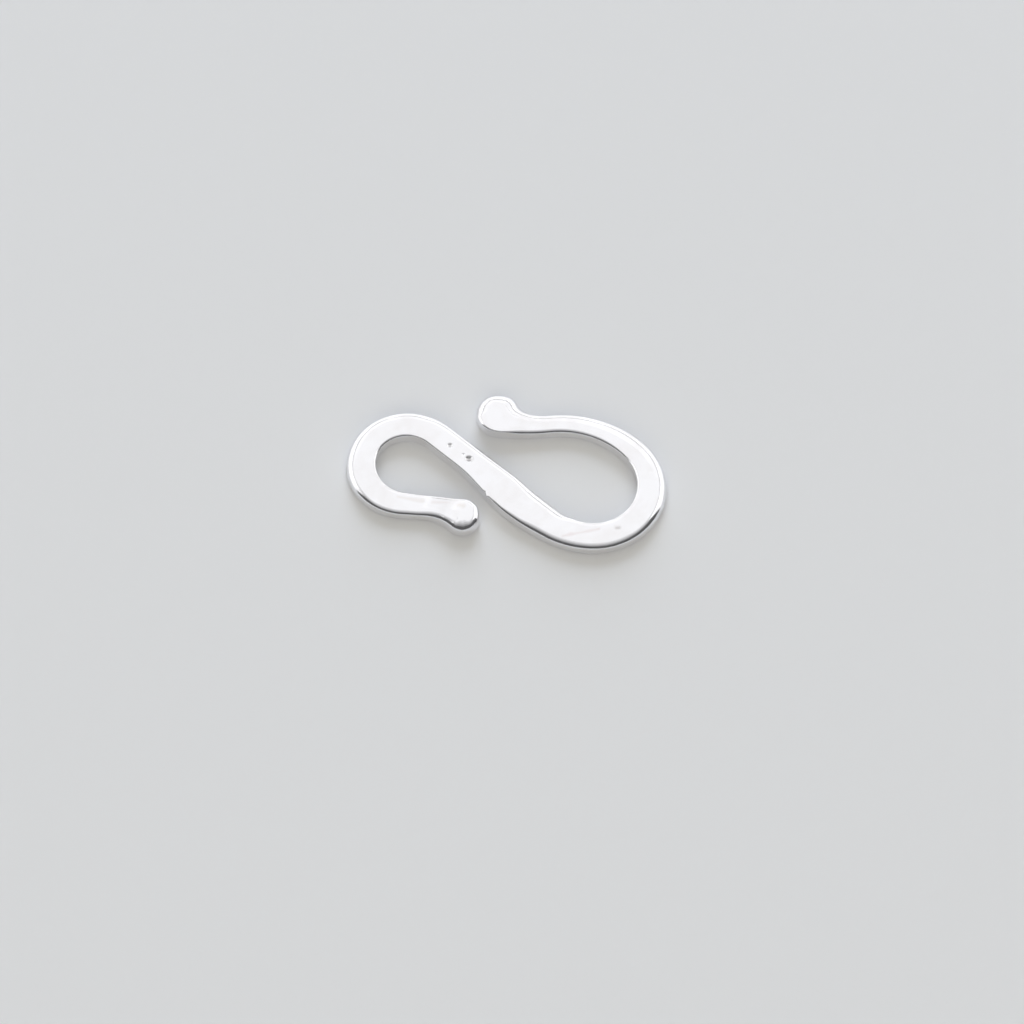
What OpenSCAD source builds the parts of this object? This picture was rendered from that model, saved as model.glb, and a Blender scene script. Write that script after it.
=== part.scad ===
// S hook clasp: one length of silver wire with a ball at each end, bent into an S and hammered flat.
// It lies on its underside, which is on Z = 0, with the large hook toward +X and the small one toward -X.
// The origin is where the bar crosses the line through the centres of both loops.

/* [Wire] */
// Width of the band round the loops
band_w = 1.22; // [1:0.02:1.4]
// Thickness of the bar and the loops
band_t = 0.62; // [0.5:0.01:0.8]
// Radius of the rounded edges on the outer side of the bends, as a share of the thickness
outer_edge_share = 0.46; // [0.3:0.01:0.48]
// Radius of the rounded edges on the inner side of the bends, as a share of the thickness
inner_edge_share = 0.26; // [0.2:0.01:0.46]
// Depth to which the anvil flattens the rounded underside
anvil_cut = 0.04; // [0.02:0.01:0.08]

/* [Bar] */
// Angle from the line through both loop centres to the bar
bar_angle = 33.8; // [30:0.2:38]
// Extra width where the bar was struck, on its -Y side
swell_w = 0.36; // [0:0.02:0.5]
// Place of the widest point, from the origin toward the large hook
swell_at = 1.9; // [1.3:0.1:2.5]
// Length over which the swell dies away on each side
swell_l = 3.2; // [2.6:0.1:4]

/* [Large hook] */
// Inside radius of the loop
large_seat_r = 1.79; // [1.55:0.01:2.05]
// Angle through which the loop turns
large_wrap = 173.5; // [168:0.5:180]
// Length of the arm after the loop
large_arm_l = 3.9; // [3.5:0.05:4.3]
// Angle through which the arm goes on turning
large_arm_turn = 54; // [48:1:60]
// Length of the tip, up to the middle of the ball
large_tip_l = 2.2; // [1.9:0.05:2.5]
// Angle by which the tip bends outward
large_flick = 33; // [27:1:40]
// Width of the neck before the ball
large_neck_w = 0.92; // [0.76:0.02:1.1]
// Thickness of the neck
large_neck_t = 0.58; // [0.46:0.01:0.7]
// Radius of the flattened ball
large_ball_r = 0.96; // [0.85:0.01:1.08]
// Thickness of the flattened ball
large_ball_t = 0.66; // [0.55:0.01:0.85]
// Distance by which the ball is set to the outer side of the wire
large_ball_out = 0.09; // [0:0.01:0.16]
// Fillet between neck and ball, on the outer side
large_fillet_out = 1.3; // [0.9:0.1:1.7]
// Fillet between neck and ball, on the inner side
large_fillet_in = 6.5; // [5:0.5:8]

/* [Small hook] */
// Inside radius of the loop
small_seat_r = 1.26; // [1.15:0.01:1.5]
// Angle through which the loop turns
small_wrap = 216; // [205:1:220]
// Length of the arm after the loop
small_arm_l = 0.45; // [0.3:0.05:0.7]
// Angle through which the arm goes on turning
small_arm_turn = 0; // [0:1:6]
// Length of the tip, up to the middle of the ball
small_tip_l = 2.1; // [1.8:0.05:2.3]
// Angle by which the tip bends outward
small_flick = 15; // [10:1:22]
// Width of the neck before the ball
small_neck_w = 0.96; // [0.8:0.02:1.1]
// Thickness of the neck
small_neck_t = 0.52; // [0.44:0.01:0.66]
// Radius of the flattened ball
small_ball_r = 0.72; // [0.66:0.01:0.8]
// Thickness of the flattened ball
small_ball_t = 0.8; // [0.6:0.01:0.95]
// Distance by which the ball is set to the outer side of the wire
small_ball_out = 0.14; // [0:0.01:0.18]
// Fillet between neck and ball, on the outer side
small_fillet_out = 3; // [2:0.1:4]
// Fillet between neck and ball, on the inner side
small_fillet_in = 2; // [1.4:0.1:3]

/* [Hidden] */

// The wire keeps its full width up to this share of a loop, then tapers
taper_from_share = 0.62;
// The taper ends this many ball radii before the middle of the ball
taper_to_share = 1.2;
// The ball thickens between these two distances from its middle, in ball radii
rise_from_share = 2.8;
rise_to_share = 0;
// Steps along the bar, a loop, an arm and a ball, and over one rounded edge
bar_steps = 8;
loop_steps = 40;
arm_steps = 24;
ball_steps = 20;
edge_steps = 3;

silver = [0.93, 0.92, 0.90];

// Each hook in one list; the last entry is its direction along the wire
large = [large_seat_r, large_wrap, large_arm_l, large_arm_turn, large_tip_l, large_flick,
    large_neck_w, large_neck_t, large_ball_r, large_ball_t, large_fillet_out, large_fillet_in,
    large_ball_out, 1];
small = [small_seat_r, small_wrap, small_arm_l, small_arm_turn, small_tip_l, small_flick,
    small_neck_w, small_neck_t, small_ball_r, small_ball_t, small_fillet_out, small_fillet_in,
    small_ball_out, -1];

function seat_r(h) = h[0];
function wrap(h) = h[1];
function arm_l(h) = h[2];
function arm_turn(h) = h[3];
function tip_l(h) = h[4];
function flick(h) = h[5];
function neck_w(h) = h[6];
function neck_t(h) = h[7];
function ball_r(h) = h[8];
function ball_t(h) = h[9];
function fillet_out(h) = h[10];
function fillet_in(h) = h[11];
function ball_out(h) = h[12];
function way(h) = h[13];

// A rise from 0 to 1 between two places, with a smooth start and end
function ease(from, to, x) =
    let (u = min(1, max(0, (x - from) / (to - from))))
    u * u * (3 - 2 * u);

// The bends of one hook from the origin to its tip, each as a length and the angle it turns to the left
function loop_r(h) = seat_r(h) + band_w / 2;
function bar_l(h) = loop_r(h) / tan(bar_angle);
function loop_l(h) = loop_r(h) * wrap(h) * PI / 180;
function ball_at(h) = bar_l(h) + loop_l(h) + arm_l(h) + tip_l(h);
function bends(h) = [
    [bar_l(h), 0],
    [loop_l(h), wrap(h)],
    [arm_l(h), arm_turn(h)],
    [tip_l(h), -flick(h)],
    [ball_r(h), 0]];

// A place on the wire is [x, y, heading]; this one is a distance d into a bend
function along(from, bend, d) =
    let (a = from[2], b = a + bend[1] * d / bend[0])
    a == b ? [from.x + d * cos(a), from.y + d * sin(a), a]
    : let (r = d * 180 / PI / (b - a))
    [from.x + r * (sin(b) - sin(a)), from.y + r * (cos(a) - cos(b)), b];

// The place at a distance d from the origin, one bend after another
function walk(list, d, from, k = 0) =
    d <= list[k][0] || k == len(list) - 1 ? along(from, list[k], d)
    : walk(list, d - list[k][0], along(from, list[k], list[k][0]), k + 1);

// Half the width on one side, x past the middle of the ball: the arm, then a fillet, then the ball.
// The ball is set toward this side by lean.
function half_at(x, side, ball, fillet, lean) =
    let (half = side - lean, start = -sqrt(max(0, (ball + fillet) ^ 2 - (half + fillet) ^ 2)))
    lean + (x < start ? half
    : x < start * ball / (ball + fillet) ? half + fillet - sqrt(fillet ^ 2 - (x - start) ^ 2)
    : sqrt(max(0, ball ^ 2 - x ^ 2)));

function taper(h, d) =
    ease(bar_l(h) + loop_l(h) * taper_from_share, ball_at(h) - ball_r(h) * taper_to_share, d);
function half_w(h, d) = band_w / 2 + (neck_w(h) - band_w) / 2 * taper(h, d);
function swell(x) =
    let (u = min(1, abs(x - swell_at) / swell_l))
    swell_w * (1 + cos(180 * u)) / 2;

// Half the width on the side of the loop's centre and on the other side
function inner(h, d) =
    half_at(d - ball_at(h), half_w(h, d), ball_r(h), fillet_in(h), -ball_out(h))
    + (way(h) < 0 ? swell(-d) : 0);
function outer(h, d) =
    half_at(d - ball_at(h), half_w(h, d), ball_r(h), fillet_out(h), ball_out(h))
    + (way(h) > 0 ? swell(d) : 0);

function thickness(h, d) =
    let (to = ball_at(h))
    band_t + (neck_t(h) - band_t) * taper(h, d)
    + (ball_t(h) - neck_t(h)) * ease(to - ball_r(h) * rise_from_share, to - ball_r(h) * rise_to_share, d);

// Radius of one rounded edge: equal on both sides at the origin and at the tip, unequal round the bends
function roll(h, d, hand) =
    let (middle = (outer_edge_share + inner_edge_share) / 2, bent = ease(0, bar_l(h), d))
    let (tip = ease(ball_at(h), ball_at(h) + ball_r(h), d))
    let (inside = middle + (inner_edge_share - middle) * bent)
    let (outside = middle + (outer_edge_share - middle) * bent)
    thickness(h, d) * (hand > 0 ? inside + (outside - inside) * tip : outside);

// Distances from the origin at which the wire is drawn
function stations(h) = concat(
    [for (i = [0:bar_steps - 1]) bar_l(h) * i / bar_steps],
    [for (i = [0:loop_steps - 1]) bar_l(h) + loop_l(h) * i / loop_steps],
    [for (i = [0:arm_steps - 1])
        bar_l(h) + loop_l(h) + (arm_l(h) + tip_l(h) - ball_r(h)) * i / arm_steps],
    [for (i = [0:ball_steps]) ball_at(h) - ball_r(h) * cos(180 * i / ball_steps)]);

// Edge points [x, y, thickness, roll] of one hook, to the left (1) or right (-1) of the wire
function edge(h, hand) = [
    for (d = stations(h))
        let (p = walk(bends(h), d, [0, 0, -bar_angle]), w = hand > 0 ? inner(h, d) : outer(h, d))
        [(p.x - hand * w * sin(p[2])) * way(h), (p.y + hand * w * cos(p[2])) * way(h),
            thickness(h, d), roll(h, d, hand)]];

function backward(list) = [for (i = [len(list) - 1:-1:0]) list[i]];
function part_of(list, from, to) = [for (i = [from:to]) list[i]];

// The whole outline once round: the -Y edge from the small tip to the large one, then the +Y edge back
low_edge = concat(backward(edge(small, 1)), part_of(edge(large, -1), 1, len(stations(large)) - 1));
high_edge = concat(backward(edge(small, -1)), part_of(edge(large, 1), 1, len(stations(large)) - 1));
last = len(low_edge) - 1;
outline = concat(low_edge, backward(part_of(high_edge, 1, last - 1)));
count = len(outline);
levels = 2 * edge_steps + 2;

// Direction into the metal at a point of the outline
function inward(i) =
    let (a = outline[(i + count - 1) % count], b = outline[(i + 1) % count])
    let (s = norm([b.x - a.x, b.y - a.y]))
    [(a.y - b.y) / s, (b.x - a.x) / s];

// Point i of the outline at level j of the rounded edge, from the underside to the top
function rim(i, j) =
    let (p = outline[i], n = inward(i), t = p[2], r = p[3], upper = j > edge_steps)
    let (a = 90 * (upper ? j - edge_steps - 1 : j) / edge_steps)
    let (inset = upper ? r * (1 - cos(a)) : r * (1 - sin(a)))
    [p.x + n.x * inset, p.y + n.y * inset,
        upper ? t - r * (1 - sin(a)) : r * (1 - cos(a)) - anvil_cut];

// The flat faces run from edge to edge: outline point i faces point across(i)
function across(i) = (count - i) % count;
function id(i, j) = j * count + i % count;

module hammered_wire() {
    points = [for (j = [0:levels - 1], i = [0:count - 1]) rim(i, j)];
    sides = [for (j = [0:levels - 2], i = [0:count - 1])
        each [[id(i, j), id(i, j + 1), id(i + 1, j + 1)], [id(i, j), id(i + 1, j + 1), id(i + 1, j)]]];
    top = levels - 1;
    caps = [for (i = [0:last - 1]) each concat(
        i + 1 == last ? [] : [
            [id(i, 0), id(i + 1, 0), id(across(i + 1), 0)],
            [id(i, top), id(across(i + 1), top), id(i + 1, top)]],
        i == 0 ? [] : [
            [id(i, 0), id(across(i + 1), 0), id(across(i), 0)],
            [id(i, top), id(across(i), top), id(across(i + 1), top)]])];
    polyhedron(points = points, faces = concat(sides, caps));
}

// The flat face of the anvil, wide enough to pass under the whole hook
module anvil() {
    reach = ball_at(large) + ball_at(small);
    translate([-reach / 2, -reach / 2, -reach])
        cube(reach);
}

module s_hook() {
    color(silver)
        difference() {
            hammered_wire();
            anvil();
        }
}

s_hook();
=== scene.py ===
# %% [markdown]
# # An S hook clasp of hammered silver wire
# The clasp is one short wire. Its ends are melted into balls, it is bent into an S with a large and a
# small loop, and it is hammered flat on an anvil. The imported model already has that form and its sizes.
# This lesson builds the finer piece that stands for it in pictures: softer edges, hammer waves, pits and
# a worn silver finish. First comes the fixed frame, whose box the finer piece may not leave.

# %% Load the frame
import math

import bpy
import numpy as np
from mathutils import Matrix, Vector


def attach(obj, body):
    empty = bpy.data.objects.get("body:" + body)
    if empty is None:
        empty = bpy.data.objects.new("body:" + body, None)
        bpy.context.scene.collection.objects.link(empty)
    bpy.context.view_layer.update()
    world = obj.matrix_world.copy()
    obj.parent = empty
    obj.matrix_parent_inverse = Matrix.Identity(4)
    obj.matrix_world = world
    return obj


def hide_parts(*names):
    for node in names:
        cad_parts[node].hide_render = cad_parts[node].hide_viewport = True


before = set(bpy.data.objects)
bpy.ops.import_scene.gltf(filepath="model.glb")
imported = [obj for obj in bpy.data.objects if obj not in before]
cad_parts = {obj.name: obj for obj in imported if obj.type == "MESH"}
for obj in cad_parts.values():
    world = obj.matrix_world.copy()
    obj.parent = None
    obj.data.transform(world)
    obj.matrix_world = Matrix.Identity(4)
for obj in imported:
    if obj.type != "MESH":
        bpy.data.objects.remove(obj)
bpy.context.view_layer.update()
MM = 0.001

# %% [markdown]
# ## The bends of the wire
# A maker bends the wire from the middle outward: a straight bar, a loop, an arm that keeps turning, and a
# tip that flicks the other way to carry the ball. A list of lengths and turns says all of that. The other
# way, a hand-drawn Bezier curve, would need guesses at every handle and would drift from the solid.
# All lengths are in millimetres, angles in degrees, and a turn to the left is positive.

# %% The two hooks as lists of bends
BAND_W = 1.22
BAND_T = 0.62
BAR_ANGLE = 33.8
TAPER_START = 0.62  # share of the loop after which the band gets narrower


def hook(seat_r, wrap, arm, arm_turn, tip, flick, **sizes):
    """One hook's own sizes, with the lengths that follow from them."""
    loop_r = seat_r + BAND_W / 2
    bar = loop_r / math.tan(math.radians(BAR_ANGLE))
    loop = loop_r * math.radians(wrap)
    bends = [(bar, 0), (loop, wrap), (arm, arm_turn), (tip, -flick), (sizes["ball_r"], 0)]
    return dict(sizes, bends=bends, taper_from=bar + loop * TAPER_START, ball_at=bar + loop + arm + tip)


large = hook(seat_r=1.79, wrap=173.5, arm=3.9, arm_turn=54, tip=2.2, flick=33, neck_w=0.92, neck_t=0.58,
             ball_r=0.96, ball_t=0.66, ball_out=0.09, fillet_out=1.3, fillet_in=6.5)
small = hook(seat_r=1.26, wrap=216, arm=0.45, arm_turn=0, tip=2.1, flick=15, neck_w=0.96, neck_t=0.52,
             ball_r=0.72, ball_t=0.8, ball_out=0.14, fillet_out=3, fillet_in=2)
print("wire to the balls' middles, mm:", round(large["ball_at"], 2), round(small["ball_at"], 2))


# %% Walk along the bends
def walk(bends, distance):
    """Place and heading (radians) at a distance from the middle of the bar."""
    x, y, heading = 0.0, 0.0, -math.radians(BAR_ANGLE)
    for length, turn in bends:
        step = min(distance, length)
        turned = math.radians(turn) * step / length
        chord = step if turned == 0 else 2 * step / turned * math.sin(turned / 2)
        x += chord * math.cos(heading + turned / 2)
        y += chord * math.sin(heading + turned / 2)
        heading += turned
        distance -= step
        if distance <= 0:
            break
    return x, y, heading


print("large ball at, mm:", [round(v, 2) for v in walk(large["bends"], large["ball_at"])[:2]])

# %% [markdown]
# ## Width and thickness along the wire
# The band is widest round the loops, thins toward each neck, and opens into a ball through a fillet. Where
# the bar was struck it spread to one side. Each of these is a short rule of the distance along the wire,
# so one function gives both edges at any place, and the outline can be drawn as finely as the eye needs.


# %% Rules for width and thickness
def ease(start, end, x):
    """A rise from 0 to 1 between two places, smooth at both ends."""
    u = min(1.0, max(0.0, (x - start) / (end - start)))
    return u * u * (3 - 2 * u)


NECK_AT, RISE_FROM = 1.2, 2.8  # before the ball's middle, in ball radii: the neck, and where the ball gets thicker
SWELL_W, SWELL_AT, SWELL_L = 0.36, 1.9, 3.2


def bulge(x):
    """A smooth bump, 1 at the middle and 0 from one length away on."""
    return (1 + math.cos(math.pi * min(1.0, abs(x)))) / 2


def swell(x):
    """Extra width on the bar's -Y side, x along the wire toward the large hook."""
    return SWELL_W * bulge((x - SWELL_AT) / SWELL_L)


def half_width(h, distance, hand):
    """Half the width on the inner (1) or outer (-1) side: the arm, then a fillet, then the ball."""
    taper = ease(h["taper_from"], h["ball_at"] - NECK_AT * h["ball_r"], distance)
    fillet, lean = (h["fillet_in"], -h["ball_out"]) if hand > 0 else (h["fillet_out"], h["ball_out"])
    half = BAND_W / 2 + (h["neck_w"] - BAND_W) / 2 * taper - lean
    x, ball = distance - h["ball_at"], h["ball_r"]
    start = -math.sqrt(max(0.0, (ball + fillet) ** 2 - (half + fillet) ** 2))
    if x < start:
        return half + lean
    if x < start * ball / (ball + fillet):
        return half + fillet - math.sqrt(fillet ** 2 - (x - start) ** 2) + lean
    return math.sqrt(max(0.0, ball ** 2 - x ** 2)) + lean


def thickness(h, distance):
    """The band's thickness, thinner at the neck and thicker in the ball."""
    end, ball = h["ball_at"], h["ball_r"]
    taper = ease(h["taper_from"], end - NECK_AT * ball, distance)
    return (BAND_T + (h["neck_t"] - BAND_T) * taper
            + (h["ball_t"] - h["neck_t"]) * ease(end - RISE_FROM * ball, end, distance))


print("half widths at the large neck, mm:",
      [round(half_width(large, large["ball_at"] - 1.6, hand), 3) for hand in (-1, 1)])

# %% [markdown]
# ## The edges, softer outside than inside
# A hammer rolls the outer edge of a bend over, and the inner edge stays sharper. Two lists say how far each
# edge is rolled, at places along the wire; between two places the value eases over. A single bevel width
# would be simpler, but the light line along the rim would then look machined.

# %% How far each edge is rolled over
# Pairs of (place along the wire, width of the rolled edge), toward the large hook counted positive.
# The low edge is inside the small loop and outside the large one, and the high edge is the other.
LOW_EDGE_ROLL = [(-13.1, 0.36), (-12.8, 0.20), (-12.0, 0.15), (-4.5, 0.13), (-3.4, 0.06), (0.8, 0.06),
                 (1.3, 0.12), (2.2, 0.22), (3.2, 0.32), (7.0, 0.32), (9.0, 0.39), (11.0, 0.40), (12.5, 0.40),
                 (14.0, 0.37), (15.6, 0.34), (16.3, 0.50), (17.3, 0.52), (17.9, 0.42)]
HIGH_EDGE_ROLL = [(-13.1, 0.36), (-12.7, 0.54), (-12.2, 0.36), (-11.6, 0.28), (-10.4, 0.24), (-9.0, 0.24),
                  (-8.0, 0.32), (-6.6, 0.40), (-5.2, 0.36), (-3.6, 0.36), (-2.4, 0.26), (-1.0, 0.25), (0.9, 0.22),
                  (2.2, 0.38), (3.3, 0.38), (4.4, 0.14), (9.0, 0.12), (11.0, 0.10), (12.5, 0.16), (14.0, 0.20),
                  (15.8, 0.20), (16.6, 0.06), (17.2, 0.10), (17.6, 0.20), (17.9, 0.42)]


def rolled(pairs, place):
    """The width of the rolled edge at a place along the wire."""
    for (a, wide_a), (b, wide_b) in zip(pairs, pairs[1:]):
        if place <= b:
            return wide_a + (wide_b - wide_a) * ease(a, b, place)
    return pairs[-1][1]


print("rolled edge at the right crown, mm:", round(rolled(LOW_EDGE_ROLL, 9), 3))

# %% [markdown]
# ## The outline as a guide
# Both edges are walked in fine steps from the small tip to the large one, and joined into one closed line.
# Each point also carries the way into the metal, the middle of the band across from it, the thickness and
# the rolled widths. Geometry Nodes will read these as named attributes.

# %% Walk both edges
STEP = 0.036  # a little less than one pixel of the picture
RIDGE_IN, RIDGE_AT, RIDGE_L = 0.12, 12.7, 3.5  # the large arm's crest lies nearer to its inner edge


def stations(h):
    """Distances from the middle of the bar, even along the wire and round the ball."""
    ball_start = h["ball_at"] - h["ball_r"]
    along = np.linspace(0, ball_start, int(ball_start / STEP), endpoint=False)
    round_ball = np.linspace(0, math.pi, int(math.pi * h["ball_r"] / STEP))
    return list(along) + list(h["ball_at"] - h["ball_r"] * np.cos(round_ball))


def edge_points(h, way, hand):
    """Rows of x, y, place along the wire, thickness and middle x, y for one edge of one hook."""
    rows = []
    for d in stations(h):
        x, y, heading = walk(h["bends"], d)
        extra = swell(d * way) if hand * way < 0 else 0.0
        wide = half_width(h, d, hand) + extra
        mid = walk(h["bends"], min(d, h["ball_at"]))
        lean = 0.5 * swell(d * way) * way + h["ball_out"] * ease(h["ball_at"] - 2 * h["ball_r"], h["ball_at"], d)
        lean -= RIDGE_IN * bulge((d * way - RIDGE_AT) / RIDGE_L)
        rows.append((way * (x - hand * wide * math.sin(heading)), way * (y + hand * wide * math.cos(heading)),
                     d * way, thickness(h, d),
                     way * (mid[0] + lean * math.sin(mid[2])), way * (mid[1] - lean * math.cos(mid[2]))))
    return rows


low = edge_points(small, -1, 1)[::-1] + edge_points(large, 1, -1)[1:]
high = edge_points(small, -1, -1)[::-1] + edge_points(large, 1, 1)[1:]
outline = np.array(low + high[1:-1][::-1])
roll = np.array([rolled(LOW_EDGE_ROLL, p[2]) for p in low]
                + [rolled(HIGH_EDGE_ROLL, p[2]) for p in high[1:-1][::-1]])
print("outline points:", len(outline), "length, mm:",
      round(float(np.linalg.norm(outline[:, :2] - np.roll(outline[:, :2], 1, 0), axis=1).sum()), 1))

# %% [markdown]
# ## A burr on the bar
# On the lower edge of the bar the metal was nicked, and a crumb of it was pushed out. Two narrow bumps of
# the edge do that, one in and one out. Moving the outline itself would be simpler, but then the bumps would
# run down the whole wall. Here they are one more column of numbers, which fades out toward the underside.

# %% Nick the lower edge, and find the way into the metal
def into_metal(points):
    """Unit vectors square to a closed outline that runs with the metal on its left."""
    along = np.roll(points, -1, 0) - np.roll(points, 1, 0)
    along /= np.linalg.norm(along, axis=1)[:, None]
    return np.stack([-along[:, 1], along[:, 0]], 1)


# Place along the lower edge, half width, and depth into the metal (a minus sign pushes it out)
NICKS = [(0.72, 0.06, -0.06), (0.53, 0.06, 0.04)]
SHAVE = 0.005  # the solid's outline has straight steps, so the smooth one goes in by as much
inward = into_metal(outline[:, :2])
outline[:, :2] += inward * SHAVE
on_low = np.arange(len(outline)) < len(low)
nick = sum(depth * np.exp(-((outline[:, 2] - place) / half) ** 2) for place, half, depth in NICKS) * on_low
print("nicks on the lower edge, mm:", round(float(nick.min()), 3), "to", round(float(nick.max()), 3))

# %% [markdown]
# ## The section as a second guide
# Cut the wire across and look at one half: it runs from the middle of the underside out to the lower
# edge, up the wall, over the rolled edge, up a faint slope and along the flat top to the middle. The slope
# is what a planishing hammer leaves beside an edge; at 4 degrees it only shows in what it mirrors. Every
# inset and height is a mix of three sizes of the outline: its thickness, its slope and its roll.

# %% Half a section, from the underside to the top
LOW_ROLL = 0.16  # radius of the lower rolled edge, as a share of the thickness
ROLL_LIFT = 0.85  # height of the upper rolled edge, as a share of its width
SLOPE = math.tan(math.radians(4))
ROLL_END = math.pi / 2 - math.atan(SLOPE / ROLL_LIFT)  # where the roll has come down to the slope
UNDER_STEPS, LOW_STEPS, WALL_STEPS, ROLL_STEPS, SLOPE_STEPS, TOP_STEPS = 3, 5, 3, 12, 4, 20
section = []  # rows of: share of the way to the middle, then inset and height by thickness, slope and roll
for k in range(UNDER_STEPS):
    section.append((1 - k / UNDER_STEPS, LOW_ROLL, 0, 0, 0, 0, 0))
for a in np.linspace(0, math.pi / 2, LOW_STEPS, endpoint=False):
    section.append((0, LOW_ROLL * (1 - math.sin(a)), 0, 0, LOW_ROLL * (1 - math.cos(a)), 0, 0))
for u in np.linspace(0, 1, WALL_STEPS, endpoint=False):
    section.append((0, 0, 0, 0, LOW_ROLL + (1 - LOW_ROLL) * u, -SLOPE * u, -ROLL_LIFT * u))
for u in np.linspace(0, 1, ROLL_STEPS, endpoint=False):
    a = ROLL_END * (1 - (1 - u) ** 1.6)  # finer steps near the top, where small tilts show most
    section.append((0, 0, 0, 1 - math.cos(a), 1, -SLOPE, -ROLL_LIFT * (1 - math.sin(a))))
for u in np.linspace(0, 1, SLOPE_STEPS, endpoint=False):
    section.append((0, 0, u, 1 - math.cos(ROLL_END), 1, -SLOPE * (1 - u),
                    -ROLL_LIFT * (1 - math.sin(ROLL_END)) * (1 - u)))
for k in range(TOP_STEPS + 1):
    section.append((k / TOP_STEPS, 0, 1, 1 - math.cos(ROLL_END), 1, 0, 0))
section = np.array(section, float)
print("points in half a section:", len(section))

# %% How wide the slope is beside each edge
LOW_EDGE_SLOPE = [(-13.1, 0.03), (-10.0, 0.03), (-8.5, 0.08), (9.0, 0.10), (11.0, 0.20), (14.5, 0.20),
                  (15.8, 0.10), (17.9, 0.08)]
HIGH_EDGE_SLOPE = [(-13.1, 0.08), (17.9, 0.08)]
slope = np.array([rolled(LOW_EDGE_SLOPE, p[2]) for p in low]
                 + [rolled(HIGH_EDGE_SLOPE, p[2]) for p in high[1:-1][::-1]])
flat_width = np.linalg.norm(outline[:, 4:6] - outline[:, :2], axis=1) - roll
slope = np.clip(slope, 0, 0.8 * np.maximum(flat_width, 0))
print("slope widths, mm:", round(float(slope.min()), 3), "to", round(float(slope.max()), 3))

# %% [markdown]
# ## Handing guides to Geometry Nodes
# A guide is a mesh with points and no faces. Its attributes are columns of numbers that the nodes look
# up by index. Keeping the numbers in attributes, and the arithmetic in nodes, means that the same tree
# would sweep any other outline and section.


# %% Make guide meshes with attributes
def guide(name, points, floats=None, vectors=None):
    """A mesh of loose points in metres, with named attributes."""
    mesh = bpy.data.meshes.new(name)
    mesh.from_pydata([tuple(p) for p in points], [], [])
    for label, values in (floats or {}).items():
        mesh.attributes.new(label, "FLOAT", "POINT").data.foreach_set("value", np.asarray(values, np.float32))
    for label, values in (vectors or {}).items():
        data = mesh.attributes.new(label, "FLOAT_VECTOR", "POINT").data
        data.foreach_set("vector", np.asarray(values, np.float32).ravel())
    made = bpy.data.objects.new(name, mesh)
    bpy.context.scene.collection.objects.link(made)
    return made


def flat(xy):
    """Rows of x, y in millimetres as points in metres at height 0."""
    return np.column_stack([xy, np.zeros(len(xy))]) * MM


sizes = np.column_stack([outline[:, 3], slope, roll]) * MM
outline_guide = guide("outline_guide", flat(outline[:, :2]), {"nick": nick * MM}, {
    "inward": np.column_stack([inward, np.zeros(len(inward))]), "middle": flat(outline[:, 4:6]), "sizes": sizes})
section_guide = guide("section_guide", np.zeros((len(section), 3)), {"share": section[:, 0]},
                      {"inset": section[:, 1:4], "height": section[:, 4:7]})
print("guides:", len(outline_guide.data.vertices), "x", len(section_guide.data.vertices), "points")

# %% [markdown]
# ## Pits
# Tiny blow holes opened in the bar when the wire was cast and drawn. They are points with a radius and a
# depth; each point of the top that lies near one sinks into it. The three deep ones are the photograph's,
# and the shallow ones are the faint dents that any hammered face has.

# %% Places of the pits
# x, y, radius and depth in millimetres
PITS = [(-1.72, 1.02, 0.14, 0.07), (-0.867, 0.498, 0.19, 0.09), (-1.12, 0.66, 0.09, 0.05),
        (5.58, -1.95, 0.10, 0.006), (-4.9, -1.0, 0.09, 0.005), (6.6, 0.9, 0.12, 0.005)]
pits = np.array(PITS)
pit_guide = guide("pit_guide", flat(pits[:, :2]), {"radius": pits[:, 2] * MM, "depth": pits[:, 3] * MM})
print("pits:", len(pits))

# %% [markdown]
# ## One function for nodes
# Node trees built in a script are easier to read when adding a node, its settings and its links is one
# line. This function does it for geometry and for shaders alike: a link's value is either another node's
# output or a plain number.


# %% Add a node with its settings and links
def add(tree, kind, links=None, out=0, **settings):
    """Adds a node, sets its properties, fills its inputs, and returns one of its outputs."""
    node = tree.nodes.new(kind)
    for name, value in settings.items():
        setattr(node, name, value)
    for socket, value in (links or {}).items():
        if isinstance(value, bpy.types.NodeSocket):
            tree.links.new(value, node.inputs[socket])
        else:
            node.inputs[socket].default_value = value
    return node.outputs[out] if len(node.outputs) else node


# %% [markdown]
# ## The tree that sweeps the wire
# A grid has one row for each outline point and one column for each section point. Every grid point works
# out its row and column from its index, looks up both guides, and moves to its place: in from the outline
# by the roll, then toward the middle, then up. A Curve to Mesh node is the usual sweep, but its ends are
# flat and it can't narrow one side only; this grid closes each ball like a lens.

# %% The tree and its named inputs
sweep = bpy.data.node_groups.new("hammered_wire", "GeometryNodeTree")
sweep.interface.new_socket("Geometry", in_out="OUTPUT", socket_type="NodeSocketGeometry")
for label, kind in [("Geometry", "NodeSocketGeometry"), ("Section", "NodeSocketObject"),
                    ("Pits", "NodeSocketObject"), ("Hammer spacing", "NodeSocketFloat"),
                    ("Hammer depth", "NodeSocketFloat"), ("Weld distance", "NodeSocketFloat"),
                    ("Metal", "NodeSocketMaterial")]:
    sweep.interface.new_socket(label, in_out="INPUT", socket_type=kind)
inputs = sweep.nodes.new("NodeGroupInput").outputs
section_in = add(sweep, "GeometryNodeObjectInfo", {"Object": inputs["Section"]}, "Geometry")
pits_in = add(sweep, "GeometryNodeObjectInfo", {"Object": inputs["Pits"]}, "Geometry")
print("inputs of the tree:", [s.name for s in inputs if s.name])

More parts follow.
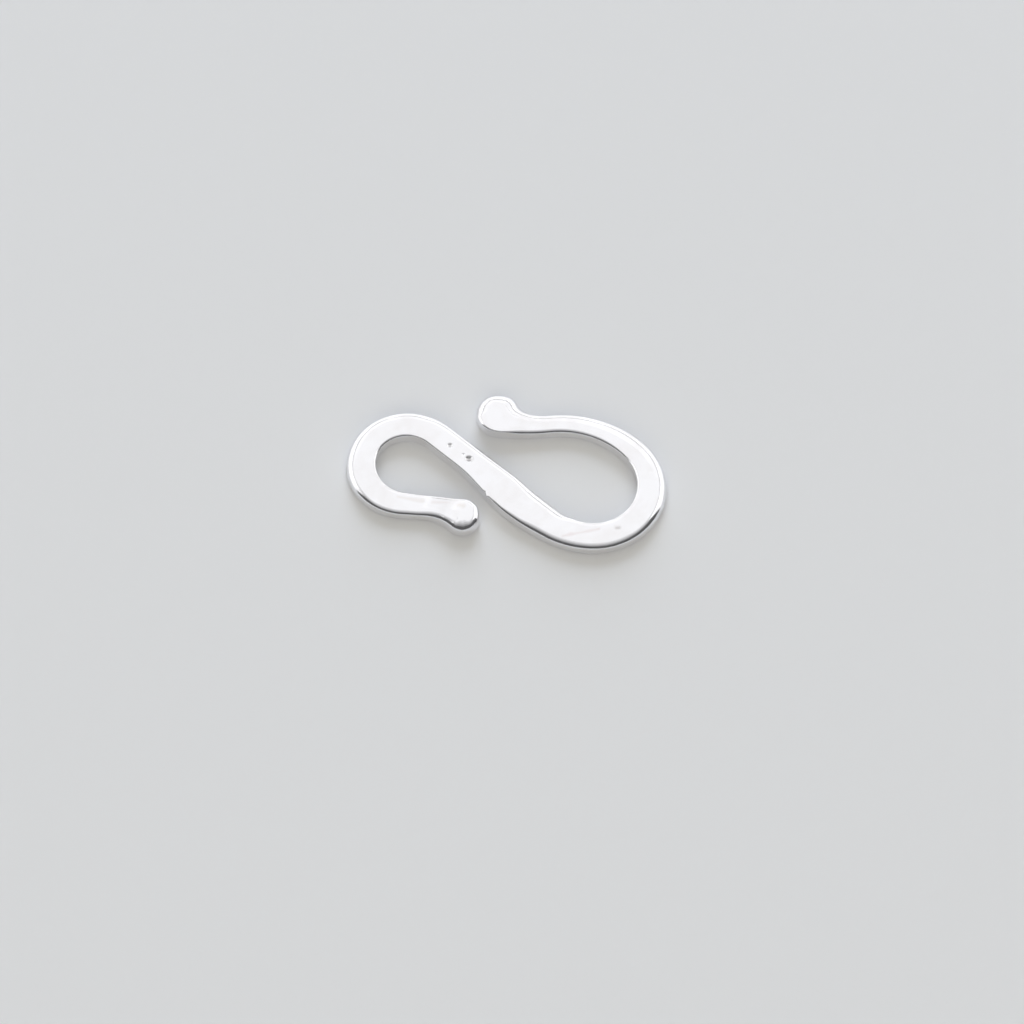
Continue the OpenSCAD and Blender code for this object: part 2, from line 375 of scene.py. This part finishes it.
# %% A grid, and each point's row and column
rows = add(sweep, "GeometryNodeAttributeDomainSize", {0: inputs["Geometry"]}, "Point Count")
columns = add(sweep, "GeometryNodeAttributeDomainSize", {0: section_in}, "Point Count")
rows_closed = add(sweep, "ShaderNodeMath", {0: rows, 1: 1.0}, operation="ADD")
grid = add(sweep, "GeometryNodeMeshGrid", {"Vertices X": rows_closed, "Vertices Y": columns}, "Mesh")
index = add(sweep, "GeometryNodeInputIndex")
row_share = add(sweep, "ShaderNodeMath", {0: index, 1: columns}, operation="DIVIDE")
row_count = add(sweep, "ShaderNodeMath", {0: row_share}, operation="FLOOR")
row = add(sweep, "ShaderNodeMath", {0: row_count, 1: rows}, operation="MODULO")
column = add(sweep, "ShaderNodeMath", {0: index, 1: columns}, operation="MODULO")


def look_up(source, label, kind, at):
    """The value of a guide's attribute at an index; an empty label reads the position."""
    wide = {"FLOAT": "FLOAT", "VECTOR": "FLOAT_VECTOR"}[kind]
    if label:
        value = add(sweep, "GeometryNodeInputNamedAttribute", {"Name": label}, data_type=wide)
    else:
        value = add(sweep, "GeometryNodeInputPosition")
    return add(sweep, "GeometryNodeSampleIndex", {"Geometry": source, "Value": value, "Index": at}, data_type=wide)


# %% Each point's place
outer = look_up(inputs["Geometry"], "", "VECTOR", row)
inward_here = look_up(inputs["Geometry"], "inward", "VECTOR", row)
middle = look_up(inputs["Geometry"], "middle", "VECTOR", row)
sizes_here = look_up(inputs["Geometry"], "sizes", "VECTOR", row)
share = look_up(section_in, "share", "FLOAT", column)
height_share = look_up(section_in, "height", "VECTOR", column)
up_wall = add(sweep, "ShaderNodeSeparateXYZ", {0: height_share}, "X")
nicked = add(sweep, "ShaderNodeMapRange", {"Value": up_wall, "From Min": LOW_ROLL,
                                           "To Max": look_up(inputs["Geometry"], "nick", "FLOAT", row)})
smooth_inset = add(sweep, "ShaderNodeVectorMath", {0: look_up(section_in, "inset", "VECTOR", column), 1: sizes_here},
                   "Value", operation="DOT_PRODUCT")
inset = add(sweep, "ShaderNodeMath", {0: smooth_inset, 1: nicked}, operation="ADD")
height = add(sweep, "ShaderNodeVectorMath", {0: height_share, 1: sizes_here}, "Value", operation="DOT_PRODUCT")
step_in = add(sweep, "ShaderNodeVectorMath", {0: inward_here, "Scale": inset}, operation="SCALE")
at_edge = add(sweep, "ShaderNodeVectorMath", {0: outer, 1: step_in}, operation="ADD")
across = add(sweep, "ShaderNodeMix", {"Factor": share, 4: at_edge, 5: middle}, 1, data_type="VECTOR")
lift = add(sweep, "ShaderNodeCombineXYZ", {"Z": height})
place = add(sweep, "ShaderNodeVectorMath", {0: across, 1: lift}, operation="ADD")

# %% [markdown]
# ## Hammer waves and pits
# A hammered face is never quite flat. A smooth noise lowers the top by a few thousandths of a millimetre,
# which is enough to bend the reflections. It only ever lowers it, so the piece stays in its box, and it
# fades out down the wall. Each pit lowers the points near it by a smooth bowl.

# %% Lower the top
tall = add(sweep, "ShaderNodeVectorMath", {0: height_share, 1: (1.0, 0.0, 1.0)}, "Value", operation="DOT_PRODUCT")
on_top = add(sweep, "ShaderNodeMapRange", {"Value": tall, "From Min": 0.4}, interpolation_type="SMOOTHSTEP")
waves = add(sweep, "ShaderNodeTexNoise", {
    "Vector": across, "Detail": 1.0, "Roughness": 0.4,
    "Scale": add(sweep, "ShaderNodeMath", {0: 1.0, 1: inputs["Hammer spacing"]}, operation="DIVIDE")})
wave = add(sweep, "ShaderNodeMath", {0: waves, 1: inputs["Hammer depth"]}, operation="MULTIPLY")
nearest = add(sweep, "GeometryNodeSampleNearest", {"Geometry": pits_in, "Sample Position": across})
away = add(sweep, "ShaderNodeVectorMath", {0: across, 1: look_up(pits_in, "", "VECTOR", nearest)}, "Value",
           operation="DISTANCE")
bowl = add(sweep, "ShaderNodeMapRange", {
    "Value": away, "From Max": look_up(pits_in, "radius", "FLOAT", nearest),
    "To Min": look_up(pits_in, "depth", "FLOAT", nearest), "To Max": 0.0}, interpolation_type="SMOOTHSTEP")
lower = add(sweep, "ShaderNodeMath", {0: wave, 1: bowl}, operation="ADD")
sunk = add(sweep, "ShaderNodeMath", {0: lower, 1: on_top}, operation="MULTIPLY")
drop = add(sweep, "ShaderNodeCombineXYZ", {"Z": sunk})
final = add(sweep, "ShaderNodeVectorMath", {0: place, 1: drop}, operation="SUBTRACT")

# %% Close the sweep and give it its metal
body = add(sweep, "GeometryNodeSetPosition", {"Geometry": grid, "Position": final})
body = add(sweep, "GeometryNodeMergeByDistance", {"Geometry": body, "Distance": inputs["Weld distance"]})
body = add(sweep, "GeometryNodeSetShadeSmooth", {"Geometry": body})
body = add(sweep, "GeometryNodeRealizeInstances", {"Geometry": body})
body = add(sweep, "GeometryNodeSetMaterial", {"Geometry": body, "Material": inputs["Metal"]})
add(sweep, "NodeGroupOutput", {0: body})
print("nodes in the sweep:", len(sweep.nodes))

# %% [markdown]
# ## Silver
# Sterling silver, filed, hammered and polished by hand. Polished silver is the whitest metal, so it shows
# what is round it more than a colour of its own: white from the soft light, dark along the near walls.
# Its own part is small: a faint lilac cast, cloudy patches where the polish is duller, a fine grain left by
# the cloth, and warm or grey traces of tarnish. Colours are sRGB hex values.


# %% From hex to linear colour
def linear(hex_colour):
    """Linear RGBA from an sRGB hex value."""
    parts = [int(hex_colour[k:k + 2], 16) / 255 for k in (0, 2, 4)]
    return tuple(c / 12.92 if c <= 0.04045 else ((c + 0.055) / 1.055) ** 2.4 for c in parts) + (1.0,)


silver = bpy.data.materials.new("sterling_silver_polished")
silver.use_nodes = True
tree = silver.node_tree
tree.nodes.clear()
place_on = add(tree, "ShaderNodeTexCoord", out="Object")
CLEAN, CLOUD = linear("F4F4F7"), linear("EFEEF0")
print("clean silver, linear:", [round(c, 3) for c in CLEAN])

# %% Cloudy patches in the polish
CLOUD_MM = 0.9
clouds = add(tree, "ShaderNodeTexNoise", {"Vector": place_on, "Scale": 1 / (CLOUD_MM * MM), "Detail": 3.0})
cloudy = add(tree, "ShaderNodeMapRange", {"Value": clouds, "From Min": 0.42, "From Max": 0.68})
colour = add(tree, "ShaderNodeMix", {"Factor": cloudy, 6: CLEAN, 7: CLOUD}, 2, data_type="RGBA")

# %% Traces of tarnish
# Each is a line from x, y to x, y with a radius, all in millimetres, how strong it is, and its colour
TRACES = [(-3.50, -1.64, -2.46, -1.70, 0.11, 0.22, "D3C7BA"), (-2.05, -1.73, -1.39, -1.73, 0.12, 0.22, "D3C2BC"),
          (-0.95, -1.82, -0.81, -1.84, 0.20, 0.30, "D3C7BA"), (3.40, -2.61, 4.81, -2.09, 0.14, 0.33, "D3BFBC"),
          (5.53, -1.96, 5.63, -1.94, 0.20, 0.80, "B4AEAD"), (-1.73, 1.02, -1.71, 1.02, 0.13, 0.40, "A8A3A0"),
          (-0.88, 0.50, -0.85, 0.50, 0.20, 0.60, "989492")]
plan = add(tree, "ShaderNodeVectorMath", {0: place_on, 1: (1.0, 1.0, 0.0)}, operation="MULTIPLY")
for x0, y0, x1, y1, radius, strength, tint in TRACES:
    line = Vector((x1 - x0, y1 - y0, 0)) * MM
    start = add(tree, "ShaderNodeVectorMath", {0: plan, 1: (x0 * MM, y0 * MM, 0.0)}, operation="SUBTRACT")
    on_line = add(tree, "ShaderNodeVectorMath", {0: start, 1: line / line.length_squared}, "Value",
                  operation="DOT_PRODUCT")
    held = add(tree, "ShaderNodeClamp", {"Value": on_line})
    nearest_on = add(tree, "ShaderNodeVectorMath", {0: line, "Scale": held}, operation="SCALE")
    off_line = add(tree, "ShaderNodeVectorMath", {0: start, 1: nearest_on}, "Value", operation="DISTANCE")
    ragged = add(tree, "ShaderNodeMath", {0: clouds, 1: radius * 2.5 * MM, 2: off_line}, operation="MULTIPLY_ADD")
    mark = add(tree, "ShaderNodeMapRange", {"Value": ragged, "From Min": radius * 2.2 * MM,
               "From Max": radius * MM, "To Max": strength}, interpolation_type="SMOOTHSTEP")
    colour = add(tree, "ShaderNodeMix", {"Factor": mark, 6: colour, 7: linear(tint)}, 2, data_type="RGBA")
print("traces of tarnish:", len(TRACES))

# %% Roughness, fine grain and the shader
GRAIN_MM = 0.07
grain = add(tree, "ShaderNodeTexNoise", {"Vector": place_on, "Scale": 1 / (GRAIN_MM * MM), "Detail": 2.0})
dull = add(tree, "ShaderNodeMapRange", {"Value": clouds, "From Min": 0.3, "From Max": 0.7, "To Min": 0.10,
                                        "To Max": 0.20})
bump = add(tree, "ShaderNodeBump", {"Height": grain, "Strength": 0.05, "Distance": 0.01 * MM})
shader = add(tree, "ShaderNodeBsdfPrincipled", {"Base Color": colour, "Metallic": 1.0, "Roughness": dull,
                                                "Normal": bump})
add(tree, "ShaderNodeOutputMaterial", {"Surface": shader})
print("silver nodes:", len(tree.nodes))

# %% [markdown]
# ## From nodes to a plain mesh
# The modifier's inputs are set by each socket's identifier before the object is first evaluated. The
# evaluated result then becomes a plain mesh of its own, and the guides are thrown away, so nothing in the
# exported model depends on nodes.

# %% Sweep the wire and keep the mesh
settings = {"Section": section_guide, "Pits": pit_guide, "Hammer spacing": 1.1 * MM, "Hammer depth": 0.010 * MM,
            "Weld distance": 0.0004 * MM, "Metal": silver}
modifier = outline_guide.modifiers.new("sweep", "NODES")
modifier.node_group = sweep
for item in sweep.interface.items_tree:
    if item.in_out == "INPUT" and item.name in settings:
        modifier[item.identifier] = settings[item.name]
evaluated = outline_guide.evaluated_get(bpy.context.evaluated_depsgraph_get())
mesh = bpy.data.meshes.new_from_object(evaluated)
mesh.name = "silver_wire"
for spent in (outline_guide, section_guide, pit_guide):
    bpy.data.objects.remove(spent)
wire = bpy.data.objects.new("silver_wire", mesh)
bpy.context.scene.collection.objects.link(wire)
print("wire:", len(mesh.vertices), "points,", sum(len(p.vertices) - 2 for p in mesh.polygons), "triangles")

# %% Check that the wire is closed and faces outward
import bmesh

check = bmesh.new()
check.from_mesh(mesh)
open_edges = sum(1 for e in check.edges if len(e.link_faces) != 2)
volume = check.calc_volume(signed=True) / MM ** 3
if volume < 0:
    bmesh.ops.reverse_faces(check, faces=check.faces)
    check.to_mesh(mesh)
check.free()
print("open edges:", open_edges, "volume, mm3:", round(volume, 2))

# %% [markdown]
# ## Floor
# A plain pale floor, wide enough that its edge is never seen in a reflection. It lies a hair below the
# clasp, so the two faces don't fight for the same pixels.

# %% Floor
FLOOR_SIZE, FLOOR_GAP = 3.0, 0.002 * MM
floor_mesh = bpy.data.meshes.new("floor")
corners = [(x * FLOOR_SIZE / 2, y * FLOOR_SIZE / 2, -FLOOR_GAP) for x, y in ((-1, -1), (1, -1), (1, 1), (-1, 1))]
floor_mesh.from_pydata(corners, [], [(0, 1, 2, 3)])
floor = bpy.data.objects.new("floor", floor_mesh)
bpy.context.scene.collection.objects.link(floor)
matte = bpy.data.materials.new("pale_matte_floor")
matte.use_nodes = True
matte.node_tree.nodes["Principled BSDF"].inputs["Base Color"].default_value = linear("F2F5FA")
matte.node_tree.nodes["Principled BSDF"].inputs["Roughness"].default_value = 0.7
floor_mesh.materials.append(matte)
print("floor:", FLOOR_SIZE, "m wide")

# %% [markdown]
# ## Soft light
# A polished face mirrors the light itself, so each light is placed by what should appear in the metal. Four
# discs of growing size hang above and behind, all with the same lower edge, and together they fill the top
# face with a white that fades toward the sides. An arc of low cards behind gives the far rims their white
# line, and the thin gap between cards and discs draws the fine grey line beside it. The camera's side stays
# dim, which draws the dark line along the near walls. One big dome of light would be simpler, but silver
# under a dome loses its edges.


# %% A light panel
def panel(name, azimuth, elevation, distance, width, tall, brightness, seen_by, shape="RECTANGLE", colour="FFFFFF"):
    """An area light that faces the clasp; brightness is what its mirror image shows."""
    light = bpy.data.lights.new(name, "AREA")
    light.shape, light.size, light.size_y = shape, width, tall
    light.energy = brightness * math.pi * width * tall * (math.pi / 4 if shape == "ELLIPSE" else 1)
    light.color = linear(colour)[:3]
    a, e = math.radians(azimuth - VIEW_AZIMUTH), math.radians(elevation)
    back = Vector((math.sin(a) * math.cos(e), math.cos(a) * math.cos(e), math.sin(e)))
    made = bpy.data.objects.new(name, light)
    made.location = back * distance
    made.rotation_euler = (-back).to_track_quat("-Z", "Y").to_euler()
    made.visible_glossy = seen_by == "metal"
    made.visible_diffuse = seen_by == "floor"
    bpy.context.scene.collection.objects.link(made)
    return made


# %% Discs for the top face
VIEW_AZIMUTH = 7.66
TOP_EDGE = 42.0  # elevation of the discs' lower edge behind the clasp, in degrees
DISC_AWAY, DISC_BRIGHT = 0.9, 0.235
for half in (26, 34, 42, 50):
    wide = 2 * DISC_AWAY * math.tan(math.radians(half))
    panel(f"top_disc_{half}", 0, TOP_EDGE + half, DISC_AWAY, wide, wide, DISC_BRIGHT, "metal", "ELLIPSE")
print("discs: 4, lower edge at", TOP_EDGE, "degrees")

# %% An arc of cards for the rims
TOP_HALF, GAP, RIM = 34.0, 4.2, 13.0  # the disc that the cards follow, the gap below it, and a brighter band
CARD_AWAY, CARD_WIDE, CARD_BRIGHT, RIM_BRIGHT = 1.3, 0.345, 1.05, 0.10
CARD_FOOT = 8  # degrees by which the cards reach below the horizon
top_at = math.radians(TOP_EDGE + TOP_HALF)
for turn in range(-90, 76, 15):
    side = math.cos(math.radians(turn)) * math.cos(top_at)
    disc_edge = math.degrees(math.asin(math.cos(math.radians(TOP_HALF)) / math.hypot(side, math.sin(top_at)))
                             - math.atan2(side, math.sin(top_at)))
    card_top = disc_edge - (GAP if turn > -90 else GAP + 10)  # the last card is lower, to end the rim softly
    half = (card_top + CARD_FOOT) / 2
    panel(f"card_{turn}", turn, half - CARD_FOOT, CARD_AWAY, CARD_WIDE,
          2 * CARD_AWAY * math.tan(math.radians(half)), CARD_BRIGHT, "metal")
    if abs(turn) <= 15:
        panel(f"rim_{turn}", turn, disc_edge + RIM / 2, CARD_AWAY, CARD_WIDE * math.cos(math.radians(card_top)),
              2 * CARD_AWAY * math.tan(math.radians(RIM / 2)), RIM_BRIGHT, "metal")

# %% [markdown]
# ## Light for the floor
# The floor has lights of its own, which the metal doesn't mirror. A key from behind draws the soft shadow
# in front of the clasp, and two fills keep it pale. The room itself is nearly dark.

# %% Key, fills and room
panel("key", 0, 25, 0.9, 0.6, 0.70, 4.6, "floor", colour="EDF4FF")
panel("fill", 0, 88, 0.9, 1.2, 1.2, 0.55, "floor", colour="FFF8E9")
panel("front_fill", 180, 35, 0.9, 1.4, 0.6, 1.5, "floor", colour="FFF8E9")
world = bpy.data.worlds.new("dim_room")
world.use_nodes = True
world.node_tree.nodes["Background"].inputs["Color"].default_value = (0.10, 0.10, 0.10, 1.0)
bpy.context.scene.world = world
bpy.context.scene.view_settings.view_transform = "Standard"

# %% [markdown]
# ## Camera
# The photograph looks down at 60 degrees, a little from the left of the clasp's own front, with little
# perspective, as a long lens gives. The picture is square, and one millimetre covers 24.5 of its 1024
# pixels, which fixes the lens for a chosen distance.

# %% Camera
ELEVATION, PIXELS, PIXELS_PER_MM, DISTANCE = 60.0, 1024, 24.5, 400.0
CENTRE_RIGHT, CENTRE_UP = 23.7 / PIXELS_PER_MM, -33.1 / PIXELS_PER_MM  # from the clasp's origin, in the picture
a, e = math.radians(VIEW_AZIMUTH), math.radians(ELEVATION)
right = Vector((math.cos(a), math.sin(a), 0))
far = Vector((-math.sin(a), math.cos(a), 0))
toward = -far * math.cos(e) + Vector((0, 0, math.sin(e)))
target = (right * CENTRE_RIGHT + far * (CENTRE_UP / math.sin(e))) * MM
lens = bpy.data.cameras.new("camera")
lens.sensor_width = 36.0
lens.lens = lens.sensor_width * DISTANCE * PIXELS_PER_MM / PIXELS
lens.clip_start, lens.clip_end = 0.01, 10.0
camera = bpy.data.objects.new("camera", lens)
camera.location = target + toward * (DISTANCE * MM)
camera.rotation_mode = "QUATERNION"
camera.rotation_quaternion = (-toward).to_track_quat("-Z", "Y")
bpy.context.scene.collection.objects.link(camera)
bpy.context.scene.camera = camera
print("lens, mm:", round(lens.lens, 1))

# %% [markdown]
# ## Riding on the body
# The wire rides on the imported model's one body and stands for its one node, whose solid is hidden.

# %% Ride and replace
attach(wire, "root")
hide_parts("s_hook")
